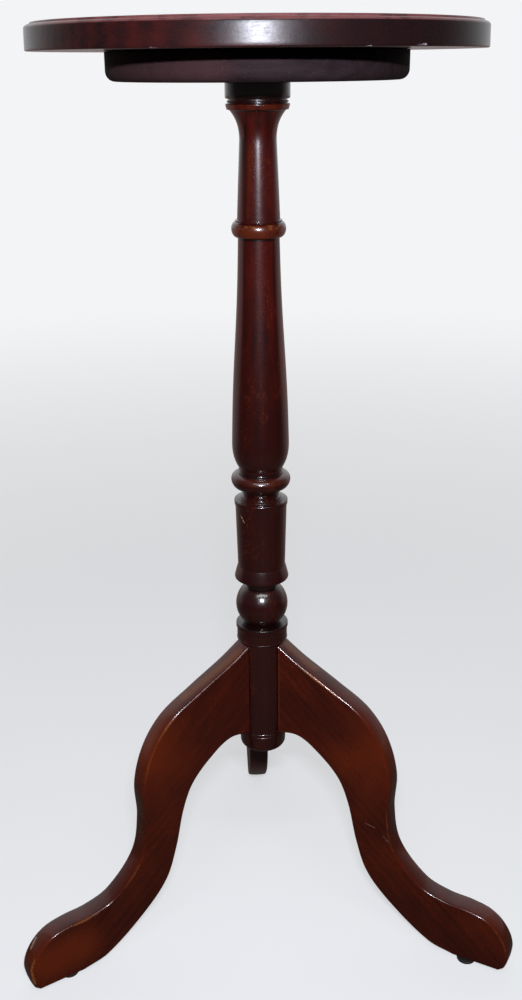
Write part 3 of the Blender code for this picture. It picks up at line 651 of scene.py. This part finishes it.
def grain_group():
    """Streaks, growth lines, cloudy figure, short open pores and fine curls of the wood under its stain"""
    group, given, leave = new_group("stained_grain", [("Place", "Vector", None)],
                                    ["Streak", "Ring", "Cloud", "Pore", "Curl"])
    bend = node(group, "ShaderNodeTexNoise", {"Vector": given["Place"], "Scale": 9.0, "Detail": 2.0})
    push = vector_node(group, "MULTIPLY", bend.outputs[1], (0.0, 0.006, 0.006))
    place = vector_node(group, "ADD", given["Place"], push)
    streak = stretched_noise(group, place, (11.0, 330.0, 330.0), 4.0)
    cloud = stretched_noise(group, place, (24.0, 66.0, 66.0), 3.0)
    knot = stretched_noise(group, place, (110.0, 230.0, 230.0), 1.0)
    pore = stretched_noise(group, place, (260.0, 2300.0, 2300.0), 2.0)
    drawn = vector_node(group, "MULTIPLY", place, (0.10, 1.0, 0.45))
    ring = node(group, "ShaderNodeTexWave", {"Vector": drawn, "Scale": 38.0, "Distortion": 5.0, "Detail": 3.0,
                                             "Detail Scale": 0.8}, bands_direction="Y")
    line = ramp(group, apart(group, knot, 0.5), 0.010, 0.040, 1.0, 0.0)
    fill(group, leave, {"Streak": ramp(group, streak, 0.34, 0.68), "Ring": ring.outputs[1],
                        "Cloud": ramp(group, cloud, 0.34, 0.66), "Pore": ramp(group, pore, 0.57, 0.70),
                        "Curl": times(group, line, ramp(group, cloud, 0.50, 0.64))})
    return group


def wear_group():
    """Where handling has rubbed the stain thin on an arris, and the small spots where bare wood shows"""
    group, given, leave = new_group("rubbed_arris", [("Arris", "Float", 0.0), ("Place", "Vector", None),
                                                     ("Wear", "Float", 0.5)], ["Rubbed", "Bare"])
    broad = noise(group, given["Place"], 17.0, 3.0, 0.55)
    fine = noise(group, given["Place"], 480.0, 3.0, 0.6)
    patch = ramp(group, broad, 0.36, 0.64, 0.0, 0.75)
    worn = plus(group, plus(group, patch, given["Wear"]), times(group, fine, 0.5))
    reach = times(group, given["Arris"], worn)
    fill(group, leave, {"Rubbed": ramp(group, reach, 0.50, 1.15), "Bare": ramp(group, reach, 1.16, 1.28)})
    return group


def spot_group():
    """A patch round one point, with a ragged rim that is soft or crisp"""
    group, given, leave = new_group("spot", [("Place", "Vector", None), ("Centre", "Vector", None),
                                             ("Reach", "Float", 0.01), ("Softness", "Float", 0.5)], ["Mask"])
    way = vector_node(group, "SUBTRACT", given["Place"], given["Centre"])
    share = math_node(group, "DIVIDE", vector_node(group, "LENGTH", way), given["Reach"])
    even = scaled(group, way, math_node(group, "DIVIDE", 1.6, given["Reach"]))
    ragged = plus(group, share, times(group, noise(group, even, 1.0, 3.0), 1.1))
    rim_start = math_node(group, "SUBTRACT", 1.5, given["Softness"])
    fill(group, leave, {"Mask": ramp(group, ragged, rim_start, 1.55, 1.0, 0.0)})
    return group


def scratch_group():
    """A thin mark between two points, broken along its length"""
    group, given, leave = new_group("scratch", [("Place", "Vector", None), ("Start", "Vector", None),
                                                ("End", "Vector", None), ("Width", "Float", 0.001),
                                                ("Softness", "Float", 0.0)], ["Mask"])
    along = vector_node(group, "SUBTRACT", given["End"], given["Start"])
    way = vector_node(group, "SUBTRACT", given["Place"], given["Start"])
    reach = vector_node(group, "DOT_PRODUCT", way, along)
    length = vector_node(group, "DOT_PRODUCT", along, along)
    share = node(group, "ShaderNodeMath", {0: reach, 1: length}, operation="DIVIDE", use_clamp=True)
    off = vector_node(group, "SUBTRACT", way, scaled(group, along, share.outputs[0]))
    far = math_node(group, "DIVIDE", vector_node(group, "LENGTH", off), given["Width"])
    ragged = plus(group, far, noise(group, given["Place"], 700.0, 3.0))
    rim_end = plus(group, given["Softness"], 1.05)
    fill(group, leave, {"Mask": ramp(group, ragged, 0.70, rim_end, 1.0, 0.0)})
    return group


def dust_group():
    """Dust on what looks up, held in patches, and pale specks stuck anywhere"""
    group, given, leave = new_group("settled_dust", [("Place", "Vector", None), ("Amount", "Float", 0.3),
                                                     ("Specks", "Float", 0.0)], ["Dust"])
    up = along_axis(group, node(group, "ShaderNodeNewGeometry").outputs["Normal"], "Z")
    patch = noise(group, given["Place"], 55.0, 5.0, 0.65)
    lying = times(group, ramp(group, up, 0.25, 1.0), ramp(group, patch, 0.3, 0.75))
    cell = node(group, "ShaderNodeTexVoronoi", {"Vector": given["Place"], "Scale": 620.0}).outputs
    chosen = ramp(group, along_axis(group, cell["Color"], "X"), 0.78, 0.86)
    dot = times(group, ramp(group, cell["Distance"], 0.10, 0.22, 1.0, 0.0), chosen)
    fill(group, leave, {"Dust": most(group, times(group, lying, given["Amount"]),
                                     times(group, dot, given["Specks"]))})
    return group


def skin_group():
    """The lacquer's skin: a faint orange peel that sinks into the pores, glossy between duller flecks"""
    group, given, leave = new_group("lacquer_skin", [("Place", "Vector", None), ("Pore", "Float", 0.0),
                                                     ("Glossy", "Float", 0.2), ("Dull", "Float", 0.45)],
                                    ["Height", "Roughness"])
    peel = noise(group, given["Place"], 620.0, 2.0)
    wave = noise(group, given["Place"], 85.0, 2.0)
    skin = plus(group, times(group, peel, 0.26), wave)
    fleck = stretched_noise(group, given["Place"], (900.0, 1900.0, 1900.0), 2.0)
    fill(group, leave, {"Height": math_node(group, "SUBTRACT", skin, times(group, given["Pore"], 0.16)),
                        "Roughness": ramp(group, fleck, 0.44, 0.66, given["Glossy"], given["Dull"])})
    return group


def spots(tree, groups, place, places):
    """The largest mask of several spots, each a centre, a reach, a softness and a strength"""
    masks = []
    for centre, reach, softness, strength in places:
        spot = group_node(tree, groups["spot"], Place=place, Centre=centre, Reach=reach, Softness=softness)
        masks.append(times(tree, spot["Mask"], strength))
    return reduce(partial(most, tree), masks)


def bands(tree, height, places):
    """The largest mask of several bands round a turned piece: height, half width, softness and strength"""
    return reduce(partial(most, tree), [
        ramp(tree, apart(tree, height, middle), reach, reach + softness, strength, 0.0)
        for middle, reach, softness, strength in places])


def marked(tree, groups, place, colour, marks):
    """Lay marks over a colour, each a tone, a start, an end, a width, a softness of rim and a strength"""
    for tone, start, end, width, softness, strength in marks:
        mark = group_node(tree, groups["scratch"], Place=place, Start=start, End=end, Width=width,
                          Softness=softness)
        colour = mixed(tree, times(tree, mark["Mask"], strength), colour, tone)
    return colour


# Finishes


def drawn_stain(tree, groups, grain, spot, flat, height, deep, warm, shares, glow=None, curl=0.0, fade=None,
                glow_bands=(), patches=(), streaks=(), dark_bands=()):
    """The stain's colour: figure, curls, bands and patches of tone and painted light, streaks, painted shade,
    dark pores.

    A fade is an axis, two places on it, and how strong the figure is at each of them.
    """
    figures = [times(tree, grain[figure], weight)
               for figure, weight in zip(("Streak", "Ring", "Cloud"), shares)]
    share = reduce(partial(plus, tree), figures)
    if fade:
        axis, *places_and_strengths = fade
        share = times(tree, share, ramp(tree, along_axis(tree, spot, axis), *places_and_strengths))
    colour = mixed(tree, share, deep, warm)
    if curl:
        colour = mixed(tree, times(tree, grain["Curl"], curl), colour, glow)
    # bands of tone, some of them painted sheen and painted highlight
    if glow_bands:
        cloudy = ramp(tree, noise(tree, spot, 90.0, 3.0), 0.30, 0.58, 0.45, 1.0)
        colour = mixed(tree, times(tree, bands(tree, height, glow_bands), cloudy), colour, glow)
    # patches of tone, partly painted light
    if patches:
        cloudy = ramp(tree, noise(tree, spot, 7.0, 3.0), 0.25, 0.6, 0.45, 1.0)
        colour = mixed(tree, times(tree, spots(tree, groups, flat, patches), cloudy), colour, glow)
    colour = marked(tree, groups, spot, colour, streaks)
    # painted shade in the quirks and crevices
    if dark_bands:
        colour = mixed(tree, bands(tree, height, dark_bands), colour, PAINTED_SHADE)
    in_pores = tuple(c * 0.45 for c in deep[:3]) + (1.0,)
    return mixed(tree, times(tree, grain["Pore"], 0.22), colour, in_pores)


def stained_lacquer(name, groups, wear, dust, gloss, ior, coat=None, specks=0.0, turn=0.0, rubs=(),
                    worn_bands=(), fleck_bands=(), marks=(), **stain):
    """Stained wood under lacquer: the stain, worn arrises, gold flecks, chips, dust and an uneven skin"""
    material, tree, shader = new_material(name)
    wood = node(tree, "ShaderNodeAttribute", attribute_name="wood_place").outputs["Vector"]
    arris = node(tree, "ShaderNodeAttribute", attribute_name="arris").outputs["Fac"]
    spot = object_place(tree)
    place = node(tree, "ShaderNodeMapping", {"Vector": wood, "Rotation": (0.0, 0.0, turn)}).outputs[0]
    flat = vector_node(tree, "MULTIPLY", wood, (1.0, 1.0, 0.0))
    height = along_axis(tree, spot, "Z")
    if rubs:
        wear = plus(tree, spots(tree, groups, flat, rubs), wear)
    if worn_bands:
        wear = plus(tree, bands(tree, height, worn_bands), wear)
    grain = group_node(tree, groups["grain"], Place=place)
    worn = group_node(tree, groups["wear"], Arris=arris, Place=spot, Wear=wear)
    settled = group_node(tree, groups["dust"], Place=spot, Amount=dust, Specks=specks)["Dust"]
    skin = group_node(tree, groups["skin"], Place=place, Pore=grain["Pore"], Glossy=gloss[0], Dull=gloss[1])

    colour = drawn_stain(tree, groups, grain, spot, flat, height, **stain)
    colour = mixed(tree, worn["Rubbed"], colour, RUBBED)
    colour = mixed(tree, worn["Bare"], colour, BARE)
    if fleck_bands:
        fleck = ramp(tree, noise(tree, spot, 170.0, 2.0), 0.50, 0.68)
        colour = mixed(tree, times(tree, bands(tree, height, fleck_bands), fleck), colour, GOLD)
    colour = marked(tree, groups, spot, colour, marks)

    duller = plus(tree, skin["Roughness"], times(tree, worn["Bare"], 0.2))
    fill(tree, shader, {"Base Color": mixed(tree, settled, colour, DUST),
                        "Roughness": plus(tree, duller, times(tree, settled, 0.5)),
                        "Normal": bumped(tree, skin["Height"], 0.25, 0.0006), "IOR": ior})
    if coat:
        fill(tree, shader, {"Coat Weight": 1.0, "Coat Roughness": coat[0], "Coat IOR": coat[1]})
    return material


def column_lacquer(groups):
    """Deep red, with an orange bead, painted shade in the quirks, painted sheen on the lower ring, a scratch
    on the drum
    """
    return stained_lacquer(
        "column_lacquer", groups, wear=-0.55, dust=0.01, gloss=(0.22, 0.30), coat=(0.18, 1.65), ior=1.4,
        deep=(0.0175, 0.0016, 0.0012, 1.0), warm=(0.069, 0.0038, 0.0017, 1.0), shares=(0.25, 0.30, 0.45),
        glow=(0.120, 0.018, 0.0045, 1.0), curl=0.35, fade=("Z", 0.44, 0.68, 0.20, 1.35),
        # orange tone on the bead and flange, painted sheen on the lower ring
        glow_bands=((0.6383, 0.0046, 0.0015, 0.9), (0.7297, 0.0018, 0.0010, 0.4),
                    (0.4335, 0.0020, 0.0015, 0.3)),
        # painted shade in the quirks from the collar down to the hub, and painted shadow at the collar's foot
        dark_bands=((0.7346, 0.0024, 0.0006, 0.75), (0.7274, 0.0005, 0.0006, 0.7),
                    (0.6326, 0.0009, 0.0008, 0.8), (0.4377, 0.0008, 0.0010, 0.6),
                    (0.4216, 0.0012, 0.0012, 0.6), (0.3312, 0.0012, 0.0012, 0.7),
                    (0.2945, 0.0008, 0.0008, 0.7)),
        fleck_bands=((0.6424, 0.0010, 0.0014, 0.75),),
        streaks=(((0.115, 0.018, 0.004, 1.0), (-0.0085, -0.0520, 0.6500), (-0.0060, -0.0520, 0.7020),
                  0.0045, 0.0, 0.35),),
        marks=((TAN_CHIP, (-0.0182, -0.0514, 0.4018), (-0.0148, -0.0552, 0.3955), 0.0010, 0.0, 0.8),))


def top_lacquer(groups):
    """Redder to the left, with a painted pale highlight along the ovolo, and chips along the lower arris"""
    return stained_lacquer(
        "top_lacquer", groups, wear=-0.55, dust=0.02, gloss=(0.27, 0.33), coat=(0.30, 1.26), ior=1.26,
        deep=(0.011, 0.0048, 0.0054, 1.0), warm=(0.050, 0.0078, 0.0066, 1.0), shares=(0.30, 0.35, 0.35),
        # the glow tone and its band paint a pale highlight along the ovolo; the worn band is wear on the
        # arris below it
        glow=(0.210, 0.066, 0.064, 1.0), fade=("X", -0.03, 0.06, 1.0, 0.15),
        glow_bands=((0.7868, 0.0012, 0.0008, 0.8),), worn_bands=((0.7843, 0.0010, 0.0012, 0.75),),
        marks=((PALE_CHIP, (0.0550, -0.1983, 0.7698), (0.0635, -0.1957, 0.7698), 0.0009, 0.2, 0.6),
               (PALE_CHIP, (0.0925, -0.1800, 0.7703), (0.1010, -0.1748, 0.7708), 0.0014, 0.2, 0.55),
               (PALE_CHIP, (-0.0720, -0.1920, 0.7699), (-0.0600, -0.1963, 0.7698), 0.0009, 0.3, 0.4)))


def cleat_stain(groups):
    """Thin dull stain with pale specks"""
    return stained_lacquer(
        "cleat_stain", groups, wear=-0.6, dust=0.04, specks=0.22, gloss=(0.70, 0.90), ior=1.2,
        deep=(0.017, 0.0095, 0.0105, 1.0), warm=(0.038, 0.0220, 0.0250, 1.0), shares=(0.35, 0.25, 0.40),
        streaks=(((0.060, 0.026, 0.027, 1.0), (-0.1050, -0.0850, 0.7550), (-0.0350, -0.1460, 0.7560),
                  0.0200, 0.6, 0.7),))


def leg_lacquer(groups):
    """Red-brown, orange patches of stain and painted light, rubbed arrises; patches and rubs lie in the leg's
    own plane
    """
    return stained_lacquer(
        "leg_lacquer", groups, wear=-0.25, dust=0.01, gloss=(0.22, 0.34), coat=(0.18, 1.5), ior=1.25,
        deep=(0.034, 0.0036, 0.0016, 1.0), warm=(0.074, 0.0072, 0.0020, 1.0), shares=(0.30, 0.25, 0.45),
        glow=(0.150, 0.0185, 0.0026, 1.0), curl=0.3, turn=LEG_GRAIN_TURN,
        # orange patches at the knee and towards the toe: partly the stain, partly painted light that
        # brightens the knee
        patches=(((0.118, 0.185, 0.0), 0.075, 1.2, 1.0), ((0.150, 0.090, 0.0), 0.050, 1.0, 0.30),
                 ((0.232, 0.045, 0.0), 0.045, 1.0, 0.35)),
        rubs=(((0.085, 0.255, 0.0), 0.060, 0.8, 0.6), ((0.200, 0.050, 0.0), 0.050, 0.8, 0.40)),
        streaks=(((0.200, 0.0260, 0.0040, 1.0), (-0.1650, -0.1500, 0.0300), (-0.1980, -0.1610, 0.0280),
                  0.0200, 1.0, 0.55),
                 (ORANGE_ARRIS, (-0.0224, -0.0561, 0.2725), (-0.0701, -0.0780, 0.2423), 0.0060, 0.6, 0.6),
                 (ORANGE_ARRIS, (-0.0701, -0.0780, 0.2423), (-0.1013, -0.0996, 0.2073), 0.0060, 0.6, 0.35),
                 (ORANGE_ARRIS, (0.0224, -0.0499, 0.2735), (0.0455, -0.0629, 0.2588), 0.0060, 0.6, 0.6)),
        marks=((TAN_CHIP, (-0.2057, -0.1514, 0.0470), (-0.2082, -0.1545, 0.0433), 0.0022, 0.1, 0.6),
               (TAN_CHIP, (-0.2092, -0.1552, 0.0418), (-0.2099, -0.1559, 0.0402), 0.0026, 0.1, 0.6),
               (GOLD, (-0.2055, -0.1660, 0.0360), (-0.2087, -0.1683, 0.0270), 0.0020, 0.3, 0.8),
               (GOLD, (-0.2087, -0.1683, 0.0270), (-0.2072, -0.1690, 0.0121), 0.0022, 0.3, 0.8),
               (GOLD, (0.0140, -0.0577, 0.2700), (0.0140, -0.0577, 0.1960), 0.0010, 0.3, 0.12),
               (TAN_CHIP, (0.0892, -0.1012, 0.1180), (0.0977, -0.1061, 0.1159), 0.0007, 0.0, 0.4),
               (TAN_CHIP, (0.1045, -0.1100, 0.1099), (0.1089, -0.1125, 0.1050), 0.0007, 0.0, 0.3)))


def bare_wood_finish(groups):
    """Unfinished birch of the dowels and the wedge"""
    material, tree, shader = new_material("bare_wood")
    grain = group_node(tree, groups["grain"], Place=object_place(tree))
    colour = mixed(tree, grain["Streak"], (0.42, 0.26, 0.13, 1.0), (0.60, 0.42, 0.24, 1.0))
    pored = mixed(tree, times(tree, grain["Pore"], 0.4), colour, (0.25, 0.14, 0.07, 1.0))
    fill(tree, shader, {"Base Color": pored, "Roughness": ramp(tree, grain["Cloud"], 0.0, 1.0, 0.55, 0.75),
                        "Normal": bumped(tree, grain["Streak"], 0.3, 0.0003)})
    return material


def screw_finish():
    """Plated steel with fine turning lines and dull patches"""
    material, tree, shader = new_material("plated_steel")
    spot = object_place(tree)
    patch = noise(tree, spot, 600.0, 4.0)
    lines = stretched_noise(tree, spot, (300.0, 300.0, 5200.0), 2.0)
    colour = mixed(tree, ramp(tree, patch, 0.35, 0.7), (0.62, 0.56, 0.42, 1.0), (0.36, 0.31, 0.22, 1.0))
    fill(tree, shader, {"Base Color": colour, "Roughness": ramp(tree, patch, 0.3, 0.7, 0.24, 0.48),
                        "Normal": bumped(tree, lines, 0.3, 0.0001), "Metallic": 1.0})
    return material


def glide_finish():
    """Dark moulded plastic, scuffed round its edge"""
    material, tree, shader = new_material("glide_plastic")
    arris = node(tree, "ShaderNodeAttribute", attribute_name="arris").outputs["Fac"]
    scuff = noise(tree, object_place(tree), 900.0, 4.0)
    share = times(tree, ramp(tree, scuff, 0.4, 0.7), arris)
    colour = mixed(tree, share, (0.010, 0.0055, 0.0042, 1.0), (0.060, 0.045, 0.035, 1.0))
    fill(tree, shader, {"Base Color": colour, "Roughness": ramp(tree, scuff, 0.3, 0.7, 0.50, 0.70),
                        "Normal": bumped(tree, scuff, 0.25, 0.0002)})
    return material


# Studio


def make_floor():
    """A wide pale floor that keeps the stand's shadow"""
    form = bmesh.new()
    bmesh.ops.create_circle(form, cap_ends=True, segments=FLOOR_SIDES, radius=FLOOR_RADIUS)
    floor = to_object("studio_floor", form)
    material, tree, shader = new_material("pale_floor")
    path = node(tree, "ShaderNodeLightPath").outputs
    seen = most(tree, path["Is Camera Ray"], path["Is Transmission Ray"])
    fill(tree, shader, {"Base Color": mixed(tree, seen, FLOOR_TONE, BACKDROP), "Roughness": 0.9,
                        "Specular IOR Level": 0.0})
    glow = node(tree, "ShaderNodeEmission",
                {"Color": mixed(tree, path["Is Glossy Ray"], BACKDROP, MIRRORED_FLOOR), "Strength": 1.0})
    spot = object_place(tree)
    behind = ramp(tree, along_axis(tree, spot, "Y"), -0.1, 0.9, 0.02, 0.30)
    mirrored = times(tree, path["Is Glossy Ray"], behind)
    lifted = ramp(tree, vector_node(tree, "LENGTH", spot), 0.4, 3.0, 0.62, 1.0)
    share = times(tree, most(tree, seen, mirrored), lifted)
    blend = node(tree, "ShaderNodeMixShader", {0: share, 1: shader.outputs[0], 2: glow.outputs[0]})
    fill(tree, tree.nodes["Material Output"], {"Surface": blend.outputs[0]})
    floor.data.materials.append(material)


def make_world():
    """Pale to the eye all round; as light, a dim room in front of the stand and a white sheet behind it"""
    world = bpy.data.worlds.new("studio")
    bpy.context.scene.world = world
    world.use_nodes = True
    tree = world.node_tree
    tree.nodes.clear()
    way = node(tree, "ShaderNodeTexCoord").outputs["Generated"]
    parts = node(tree, "ShaderNodeSeparateXYZ", {0: way}).outputs
    behind = times(tree, ramp(tree, parts["Y"], 0.0, 0.9), ROOM_LIFT_BEHIND)
    above = times(tree, ramp(tree, parts["Z"], 0.3, 0.95), ROOM_LIFT_ABOVE)
    level = plus(tree, behind, plus(tree, above, ROOM_LEVEL))
    path = node(tree, "ShaderNodeLightPath").outputs
    mirrored = times(tree, path["Is Glossy Ray"], ramp(tree, parts["Y"], 0.74, 1.24))
    seen = most(tree, most(tree, path["Is Camera Ray"], mirrored), path["Is Transmission Ray"])
    room = node(tree, "ShaderNodeBackground", {"Color": ROOM_TONE, "Strength": level})
    sheet = node(tree, "ShaderNodeBackground", {"Color": BACKDROP, "Strength": 1.0})
    blend = node(tree, "ShaderNodeMixShader", {0: seen, 1: room.outputs[0], 2: sheet.outputs[0]})
    node(tree, "ShaderNodeOutputWorld", {"Surface": blend.outputs[0]})


def camera_matrix():
    """Where the photograph was taken from"""
    stand = AXIS + Vector((math.sin(CAMERA_AZIMUTH), -math.cos(CAMERA_AZIMUTH), 0.0)) * CAMERA_DISTANCE
    stand.z = CAMERA_HEIGHT + SOLE_Z
    turn = (Matrix.Rotation(CAMERA_AZIMUTH, 4, "Z") @ Matrix.Rotation(QUARTER_TURN - CAMERA_PITCH, 4, "X")
            @ Matrix.Rotation(CAMERA_ROLL, 4, "Z"))
    return Matrix.Translation(stand) @ turn


def make_camera():
    """The camera that looks as the photograph does"""
    lens = bpy.data.cameras.new("photo_camera")
    lens.sensor_fit = "VERTICAL"
    lens.sensor_height = CAMERA_SENSOR
    lens.lens = CAMERA_LENS
    lens.clip_start = CAMERA_CLIP_START
    camera = bpy.data.objects.new("photo_camera", lens)
    camera.matrix_world = camera_matrix()
    bpy.context.scene.collection.objects.link(camera)
    bpy.context.scene.camera = camera
    return camera


def lamp(name, place, size, power, size_y=None, tint=(1.0, 1.0, 1.0)):
    """An area lamp that looks at the column: an oblong if it has a second size, and else a square"""
    light = bpy.data.lights.new(name, "AREA")
    light.shape = "RECTANGLE" if size_y else "SQUARE"
    light.size = size
    if size_y:
        light.size_y = size_y
    light.energy = power
    light.color = tint
    made = bpy.data.objects.new(name, light)
    made.location = place
    aim = AXIS + Vector((0.0, 0.0, LAMP_AIM_HEIGHT))
    made.rotation_euler = (aim - place).to_track_quat("-Z", "Y").to_euler()
    bpy.context.scene.collection.objects.link(made)


def light_stand(camera):
    """A low wide lamp over the lens, a thin strip high in front, and weak panels behind for the far side"""
    lens = camera.matrix_world.translation
    lamp("key_over_lens", lens + Vector((0.01, 0.0, 0.100)), 0.11, 10.1, 0.018, (0.84, 0.88, 1.0))
    lamp("high_strip", AXIS + Vector((0.0, -1.2, 1.9)), 1.6, 7.5, 0.16)
    lamp("far_left", AXIS + Vector((-1.9, 2.2, 2.5)), 2.8, 4.0)
    lamp("far_right", AXIS + Vector((1.9, 2.2, 2.5)), 2.8, 3.0)


# Put together

groups = {"grain": grain_group(), "wear": wear_group(), "dust": dust_group(), "skin": skin_group(),
          "spot": spot_group(), "scratch": scratch_group()}
column_finish = column_lacquer(groups)
leg_finish = leg_lacquer(groups)
raw_finish = bare_wood_finish(groups)
steel_finish = screw_finish()
plastic_finish = glide_finish()

make_top(top_lacquer(groups))
make_cleat(cleat_stain(groups))
make_column(column_finish)
make_cap(column_finish)
for number, (name, turn) in enumerate(zip(LEG_NAMES, LEG_TURNS)):
    make_leg(name, turn, number, leg_finish)
    make_glide(name, turn, plastic_finish)
for number, place in enumerate(screw_places(), 1):
    make_screw(number, place, steel_finish)
for name, cad_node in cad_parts.items():
    if "dowel" in name or "wedge" in name:
        cad_node.data.materials.clear()
        cad_node.data.materials.append(raw_finish)

make_floor()
make_world()
light_stand(make_camera())
bpy.context.scene.view_settings.view_transform = "Standard"
